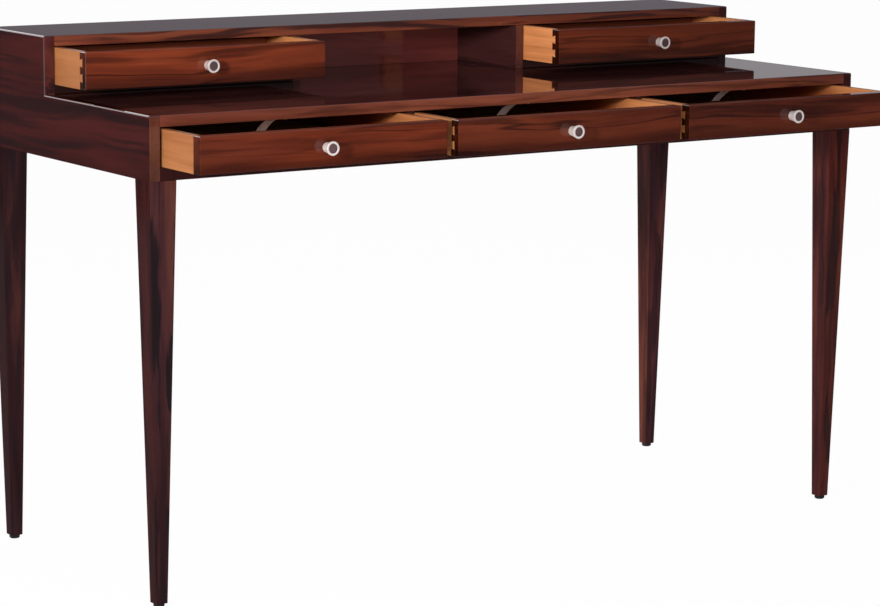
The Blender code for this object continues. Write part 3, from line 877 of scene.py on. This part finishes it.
@dataclass
class Drawer:
    """One drawer's finishes, and its turned knob with the wooden disc in its face."""

    name: str
    tone: float
    # Painted light and shade: each side's tone is set to how lit that side looks, not by its timber.
    side_tones: tuple[float, float]
    shift: Point
    palette: Palette = ORANGE
    end_gain: float = 0.30
    # Painted shade: the gain on the front's colour at its foot.
    foot_painted_shade: float = 0.45
    front_veins: float = 0.75
    front_flames: Flames = Flames(0.55, Pattern(1.8, 70.0), (0.52, 0.66))
    # Painted shade on the sides: a gain from shade_start to shade_end behind the front's face.
    side_painted_shade: Colour = (0.32, 0.14, 0.11)
    shade_start: float = 0.09
    shade_end: float = 0.22
    sides: int = 56
    cone_rings: int = 18
    cone_power: float = 1.6
    lip_rings: int = 6
    rim_radius: float = 0.0110
    rim_round: float = 0.0010
    neck_radius: float = 0.0080
    dish_radius: float = 0.0076
    dish_depth: float = 0.0016
    disc_rings: int = 8
    disc_fit: float = 0.985
    disc_gap: float = 0.00005
    disc_edge: float = 0.0007
    disc_crown: float = 0.0004

    @property
    def body(self) -> str:
        """Return the name of the body that the drawer's pieces ride on."""
        return f"{self.name}_drawer"

    def knob_place(self) -> tuple[Vector, float]:
        """Find the knob's place from its CAD node and the drawer's front.

        Returns:
            The middle of the knob's foot on the front, and how far the knob stands out.
        """
        low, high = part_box(f"{self.name}_knob")
        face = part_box(f"{self.name}_drawer_front")[0].y
        return Vector(((low.x + high.x) / 2, face, (low.z + high.z) / 2)), face - low.y

    def knob_profile(self, reach: float) -> np.ndarray:
        """Work out the knob's profile: a flaring cone, a rounded rim and a flat dish.

        Formula: at the share s of its length the cone's radius is neck + (rim - neck) * s ^ power. The rim
        is two quarter circles, one on its outer and one on its inner edge.

        Args:
            reach: how far the knob stands out.

        Returns:
            Rows of (radius, distance from the front).
        """
        s = np.linspace(0.0, 1.0, self.cone_rings)
        cone = np.stack([self.neck_radius + (self.rim_radius - self.neck_radius) * s ** self.cone_power,
                         (reach - 2.0 * self.rim_round) * s], 1)
        turn = np.linspace(0.0, np.pi / 2, self.lip_rings)
        lip = np.stack([self.rim_radius - self.rim_round * (1 - np.cos(turn)),
                        reach - self.rim_round * (1 - np.sin(turn))], 1)
        inner = np.stack([self.dish_radius + self.rim_round * (1 - np.sin(turn)),
                          reach - self.rim_round * (1 - np.cos(turn))], 1)
        dish = np.array([[self.dish_radius, reach - self.dish_depth], [0.0, reach - self.dish_depth]])
        return np.concatenate([[[0.0, 0.0]], cone, lip, inner, dish])

    def disc_profile(self, reach: float) -> np.ndarray:
        """Work out the profile of the disc that fills the knob's dish.

        Formula: at the share s of its radius its face stands crown * (1 - s ^ 2) above its edge.

        Args:
            reach: how far the knob stands out.

        Returns:
            Rows of (radius, distance from the front).
        """
        s = np.linspace(1.0, 0.0, self.disc_rings)
        radius = self.dish_radius * self.disc_fit
        floor = reach - self.dish_depth + self.disc_gap
        crown = np.stack([radius * s, floor + self.disc_edge + self.disc_crown * (1 - s ** 2)], 1)
        return np.concatenate([[[0.0, floor]], [[radius, floor]], crown])

    def build_knob(self, metal: bpy.types.Material, wood: bpy.types.Material) -> None:
        """Build the knob over its CAD node, and the crowned disc that fills its dish.

        Args:
            metal: the knob's finish.
            wood: the disc's finish.
        """
        foot, reach = self.knob_place()
        outwards = Vector((0.0, -1.0, 0.0))
        knob = turned(f"{self.name}_knob_turned", self.knob_profile(reach), self.sides, foot, outwards)
        knob.data.materials.append(metal)
        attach(knob, self.body)
        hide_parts(f"{self.name}_knob")
        disc = turned(f"{self.name}_knob_disc", self.disc_profile(reach), self.sides, foot, outwards)
        disc.data.materials.append(wood)
        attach(disc, self.body)
        log.info("built %s and %s", knob.name, disc.name)

    def dress(self, finishes: SharedFinishes) -> None:
        """Give the front its rosewood, with painted shade at its foot and darker end grain, and the box its
        timber, with painted shade deep inside the sides.

        Args:
            finishes: the shared finishes.
        """
        low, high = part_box(f"{self.name}_drawer_front")
        ends = tuple(Zone(side, (self.end_gain,) * 3) for side in (Side.LEFT, Side.RIGHT))
        front = Rosewood(f"rosewood_{self.name}_front", Grain.ALONG_X, self.shift, self.tone, self.palette,
                         self.front_veins, self.front_flames, ends,
                         Fade(low.z, (low.z + high.z) / 2, self.foot_painted_shade))
        dress([f"{self.name}_drawer_front"], front.material())
        for side, tone in zip(("left", "right"), self.side_tones):
            timber = PaleTimber(f"pale_{self.name}_{side}_side", Grain.ALONG_Y, self.shift, tone,
                                shade=self.side_painted_shade,
                                shade_span=(low.y + self.shade_start, low.y + self.shade_end))
            dress([f"{self.name}_drawer_{side}_side"], timber.material())
        dress([f"{self.name}_drawer_back"], finishes.backs)
        dress([f"{self.name}_drawer_bottom"], finishes.bottoms)
        self.build_knob(finishes.nickel, finishes.disc)


@dataclass
class StopLeaf:
    """One curved spring leaf under the desk top, and its screw."""

    bay: str
    thickness: float = 0.0012
    edge_round: float = 0.0004
    edge_steps: int = 4
    steps: int = 48

    def build(self, lacquer: bpy.types.Material) -> None:
        """Build the leaf as one smooth strip: a flat end, then an arc that falls away to the back.

        Formula: the arc's centre line is p(t) = (y0 + R sin t, z0 - R (1 - cos t)), found from the
        CAD leaf's box: with length L and fall H past the flat end, R = (L^2 + H^2) / (2 H).

        Args:
            lacquer: the finish of the leaf and its screw.
        """
        node = f"{self.bay}_stop_leaf"
        low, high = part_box(node)
        screw_low, screw_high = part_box(f"{self.bay}_leaf_screw")
        flat = (screw_low.y + screw_high.y) - 2 * low.y
        length, fall = high.y - low.y - flat, high.z - low.z - self.thickness
        radius = (length ** 2 + fall ** 2) / (2 * fall)
        sweep = math.asin(length / radius)
        t = np.concatenate([[0.0], np.linspace(0.0, sweep, self.steps)])
        start = np.concatenate([[low.y], np.full(self.steps, low.y + flat)])
        middle = high.z - self.thickness / 2
        path = np.stack([np.full(len(t), (low.x + high.x) / 2), start + radius * np.sin(t),
                         middle - radius * (1 - np.cos(t))], 1)
        normal = np.stack([np.zeros(len(t)), np.sin(t), np.cos(t)], 1)
        section = rounded_section(high.x - low.x, self.thickness, self.edge_round, self.edge_steps)
        leaf = swept(f"{self.bay}_leaf_strip", path, normal, Vector((1.0, 0.0, 0.0)), section)
        leaf.data.materials.append(lacquer)
        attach(leaf, "case")
        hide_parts(node)
        dress([f"{self.bay}_leaf_screw"], lacquer)
        log.info("built %s", leaf.name)


@dataclass(frozen=True)
class Lamp:
    """A soft rectangular light: its place, its width and height, its power and the point that it faces.

    Polished faces mirror it only if it is mirrored.
    """

    name: str
    place: Point
    size: tuple[float, float]
    watts: float
    mirrored: bool = False
    aim: Point = (0.0, 0.0, 0.65)

    def hang(self) -> None:
        """Hang the light in the scene, out of the camera's sight."""
        data = bpy.data.lights.new(self.name, "AREA")
        data.shape = "RECTANGLE"
        data.size, data.size_y = self.size
        data.energy = self.watts
        lamp = bpy.data.objects.new(self.name, data)
        lamp.location = self.place
        lamp.rotation_mode = "QUATERNION"
        lamp.rotation_quaternion = (Vector(self.aim) - Vector(self.place)).to_track_quat("-Z", "Y")
        lamp.visible_camera = False
        lamp.visible_glossy = self.mirrored
        bpy.context.scene.collection.objects.link(lamp)


@dataclass
class Studio:
    """The pale floor, the card tent, the soft lights and the camera at the photograph's angle."""

    eye: Point = (-2.8341, -4.1506, 1.2689)
    yaw: float = -0.5939
    pitch: float = -0.1729
    roll: float = 0.0090
    focal_pixels: float = 2986.3
    frame_pixels: float = 880.0
    sensor: float = 36.0
    far_clip: float = 200.0
    ambient: float = 0.14
    floor_reach: float = 40.0
    floor_grey: float = 0.86
    floor_glow: float = 0.98
    tent_radius: float = 3.6
    tent_height: float = 4.0
    tent_lift: float = 0.0004
    tent_sides: int = 48
    tent_tint: Colour = (1.0, 0.90, 1.0)
    tent_greys: tuple[tuple[float, float], ...] = (
        (0.0, 0.16), (0.1, 0.085), (0.85, 0.085), (1.0, 0.18), (1.6, 0.20), (2.3, 0.35))
    lamps: tuple[Lamp, ...] = (
        Lamp("key_softbox", (-2.75, -1.45, 1.27), (0.3, 0.3), 66.0),
        Lamp("left_softbox", (-3.2, -0.2, 1.3), (0.8, 0.8), 12.0),
        Lamp("front_softbox", (-0.9, -3.2, 1.2), (2.0, 0.8), 27.0),
        Lamp("low_fill", (-0.6, -3.2, 0.55), (1.6, 0.6), 9.0),
        Lamp("right_fill", (3.2, 0.9, 1.4), (1.2, 1.2), 22.0),
        Lamp("back_softbox", (-0.6, 2.6, 2.2), (3.6, 1.0), 26.0, True),
        Lamp("back_left_strip", (-1.85, 2.6, 1.45), (0.9, 0.5), 4.0, True),
        Lamp("left_strip", (-3.2, 0.78, 0.60), (0.65, 0.22), 0.8, True),
        Lamp("right_card", (1.25, 0.75, 0.85), (0.78, 0.12), 0.065, True, (0.61, -0.02, 0.85)))

    def place_camera(self) -> None:
        """Set the camera from its heading, tilt and roll, with a lens that fits the photograph's frame."""
        forward = Vector((-math.sin(self.yaw) * math.cos(self.pitch),
                          math.cos(self.yaw) * math.cos(self.pitch), math.sin(self.pitch)))
        right = Vector((math.cos(self.yaw), math.sin(self.yaw), 0.0))
        up = right.cross(forward)
        tilted_right = math.cos(self.roll) * right + math.sin(self.roll) * up
        tilted_up = math.cos(self.roll) * up - math.sin(self.roll) * right
        data = bpy.data.cameras.new("studio_camera")
        data.sensor_fit = "HORIZONTAL"
        data.sensor_width = self.sensor
        data.lens = self.focal_pixels * self.sensor / self.frame_pixels
        data.clip_end = self.far_clip
        camera = bpy.data.objects.new("studio_camera", data)
        turn = Matrix((tilted_right, tilted_up, -forward)).transposed()
        camera.matrix_world = Matrix.Translation(self.eye) @ turn.to_4x4()
        bpy.context.scene.collection.objects.link(camera)
        bpy.context.scene.camera = camera

    def background_rays(self, tree: bpy.types.NodeTree) -> Socket:
        """Pick out the rays that see the background: camera, glossy and transmission rays.

        Args:
            tree: the node tree that needs them.

        Returns:
            1 for those rays and 0 for the others.
        """
        path = tree.nodes.new("ShaderNodeLightPath")
        socket = path.outputs["Is Camera Ray"]
        for name in ("Is Glossy Ray", "Is Transmission Ray"):
            most = tree.nodes.new("ShaderNodeMath")
            most.operation = "MAXIMUM"
            tree.links.new(socket, most.inputs[0])
            tree.links.new(path.outputs[name], most.inputs[1])
            socket = most.outputs[0]
        return socket

    def light_world(self) -> None:
        """Set a dim world that shows full white to the rays that see the background."""
        world = bpy.data.worlds.new("studio_world")
        world.use_nodes = True
        tree = world.node_tree
        tree.nodes.clear()
        output = tree.nodes.new("ShaderNodeOutputWorld")
        mixed = tree.nodes.new("ShaderNodeMixShader")
        soft = tree.nodes.new("ShaderNodeBackground")
        soft.inputs["Strength"].default_value = self.ambient
        white = tree.nodes.new("ShaderNodeBackground")
        for shader in (soft, white):
            shader.inputs["Color"].default_value = (1.0, 1.0, 1.0, 1.0)
        tree.links.new(self.background_rays(tree), mixed.inputs[0])
        tree.links.new(soft.outputs[0], mixed.inputs[1])
        tree.links.new(white.outputs[0], mixed.inputs[2])
        tree.links.new(mixed.outputs[0], output.inputs["Surface"])
        bpy.context.scene.world = world

    def lay_floor(self) -> None:
        """Lay a wide pale floor that glows white to the camera and keeps a faint shadow."""
        reach = self.floor_reach
        mesh = bpy.data.meshes.new("studio_floor")
        corners = [(-reach, -reach, 0.0), (reach, -reach, 0.0), (reach, reach, 0.0), (-reach, reach, 0.0)]
        mesh.from_pydata(corners, [], [(0, 1, 2, 3)])
        floor = linked("studio_floor", mesh)
        sheet = ShaderSheet("studio_floor", "ShaderNodeMixShader")
        matt = sheet.add("ShaderNodeBsdfDiffuse", {"Color": (*(self.floor_grey,) * 3, 1.0)})
        glow = sheet.add("ShaderNodeEmission")
        share = sheet.maths("MULTIPLY", self.background_rays(sheet.tree), self.floor_glow)
        for target, value in zip(sheet.shader.inputs, (share, matt.outputs[0], glow.outputs[0])):
            sheet.feed(target, value)
        mesh.materials.append(sheet.material)

    def pitch_tent(self) -> None:
        """Pitch a round card tent, dark below and paler above, which only the gloss reflects.

        Formula: wall point (t, z) lies at (R cos t, R sin t, z), from just above the floor to a flat roof.
        """
        t = np.linspace(0.0, 2 * np.pi, self.tent_sides, endpoint=False)
        ring = self.tent_radius * np.stack([np.cos(t), np.sin(t)], 1)
        heights = (self.tent_lift, self.tent_height)
        points = np.concatenate([np.column_stack([ring, np.full(len(t), z)]) for z in heights])
        walls = ring_quads(2, len(t))[:, ::-1].tolist()
        step = np.arange(len(t))
        mesh = bpy.data.meshes.new("studio_tent")
        mesh.from_pydata(points.tolist(), [], walls + [(step + len(t)).tolist(), step[::-1].tolist()])
        tent = linked("studio_tent", mesh)
        for rays in ("camera", "diffuse", "shadow", "transmission", "volume_scatter"):
            setattr(tent, f"visible_{rays}", False)
        sheet = ShaderSheet("studio_grey_card", "ShaderNodeEmission")
        height = sheet.maths("DIVIDE", sheet.axis(sheet.where, "Z"), self.tent_height)
        places = tuple(z / self.tent_height for z, _ in self.tent_greys)
        greys = [toned(self.tent_tint, grey) for _, grey in self.tent_greys]
        sheet.paint(Color=sheet.ramp(height, places, greys))
        mesh.materials.append(sheet.material)

    def build(self) -> None:
        """Build the whole studio."""
        self.light_world()
        self.lay_floor()
        self.pitch_tent()
        self.place_camera()
        for lamp in self.lamps:
            lamp.hang()
        bpy.context.scene.view_settings.view_transform = "Standard"
        log.info("built the studio")


DRAWERS = (
    Drawer("upper_left", 1.78, (0.70, 1.05), (0.1, 0.0, 0.05)),
    Drawer("upper_right", 1.20, (1.65, 1.30), (0.7, 0.3, 0.4)),
    Drawer("lower_left", 1.53, (0.68, 1.00), (0.35, 0.15, 0.8), end_gain=0.55),
    Drawer("lower_middle", 0.90, (0.85, 1.25), (1.3, 0.25, 0.6), RED_BROWN),
    Drawer("lower_right", 1.05, (1.00, 1.30), (1.9, 0.45, 0.33), RED_BROWN))
BAYS = ("left", "middle", "right")


def main() -> None:
    """Load the frame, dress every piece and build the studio."""
    logging.basicConfig(level=logging.INFO, format="%(name)s: %(message)s")
    for old in list(bpy.data.objects):
        bpy.data.objects.remove(old, do_unlink=True)
    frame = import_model()
    log.info("loaded %d CAD nodes", len(frame["nodes"]))
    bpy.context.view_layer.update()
    finishes = SharedFinishes.mixed()
    Carcass().dress()
    Legs().dress(finishes)
    for drawer in DRAWERS:
        drawer.dress(finishes)
    for bay in BAYS:
        StopLeaf(bay).build(finishes.lacquer)
    Studio().build()


if __name__ == "__main__":
    main()
